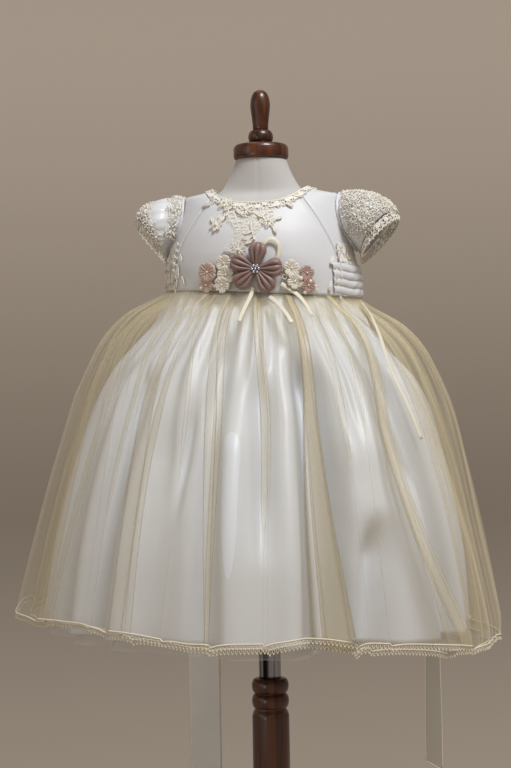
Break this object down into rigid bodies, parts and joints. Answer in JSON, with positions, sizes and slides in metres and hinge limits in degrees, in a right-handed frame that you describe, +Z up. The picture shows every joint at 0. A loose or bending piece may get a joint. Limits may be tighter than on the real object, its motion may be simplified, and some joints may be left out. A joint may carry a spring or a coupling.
{
  "type": "christening gown on a limbless dress form with its stand",
  "caption": "Baby's satin and tulle christening gown with cap sleeves, full layered skirt, sash and waist flowers, worn by a small dress form on a turned wooden stand.",
  "frame": {"origin": "on the floor, at the middle of the stand's base, on the pole's axis", "axes": "+Z up along the pole; the gown's front faces -Y; +X is to the right as seen from the front"},
  "size_m": [0.4852, 0.446, 0.8239],
  "materials": {
    "satin": "satin",
    "tulle": "sheer",
    "net": "sheer",
    "lace": "matt",
    "mauve_satin": "satin",
    "blossom": "matt",
    "pearl": "pearl gloss",
    "crystal": "cut",
    "jersey": "matt",
    "wood": "gloss varnish",
    "chrome": "polished"
  },
  "bodies": {
    "root": {"bodice_centre_front": "satin", "bodice_side_front_left": "satin", "bodice_side_front_right": "satin", "bodice_back_left": "satin", "bodice_back_right": "satin", "back_placket": "satin", "sleeve_left": "satin", "sleeve_right": "satin", "satin_skirt_front": "satin", "satin_skirt_back": "satin", "sash_front_right": "satin", "sash_back_left": "satin", "sash_back_right": "satin", "sash_knot": "satin", "sash_tail_satin": "satin", "flower_ribbon_loop": "satin", "flower_tail_left": "satin", "flower_tail_middle": "satin", "flower_tail_right": "satin", "waist_ribbon_right": "satin", "inner_tulle_front": "tulle", "inner_tulle_back": "tulle", "outer_tulle_front": "tulle", "outer_tulle_back": "tulle", "sash_tail_organza": "tulle", "petticoat_front": "net", "petticoat_back": "net", "neckline_lace": "lace", "bodice_lace_motif": "lace", "side_lace_left": "lace", "side_lace_right": "lace", "sleeve_lace_left": "lace", "sleeve_lace_right": "lace", "hem_lace_inner": "lace", "hem_lace_outer": "lace", "flower_petal_1": "mauve_satin", "flower_petal_2": "mauve_satin", "flower_petal_3": "mauve_satin", "flower_petal_4": "mauve_satin", "flower_petal_5": "mauve_satin", "blossom_pink_left": "blossom", "blossom_pink_left_low": "blossom", "blossom_mauve_right_top": "blossom", "blossom_mauve_right_low": "blossom", "blossom_cream_left": "blossom", "blossom_cream_right": "blossom", "pearl_left": "pearl", "pearl_right": "pearl", "back_button_1": "pearl", "back_button_2": "pearl", "back_button_3": "pearl", "flower_centre": "crystal", "torso": "jersey", "neck_cap": "wood", "finial_ring": "wood", "finial": "wood", "column": "wood", "base": "wood", "chrome_tube": "chrome"}
  },
  "joints": []
}
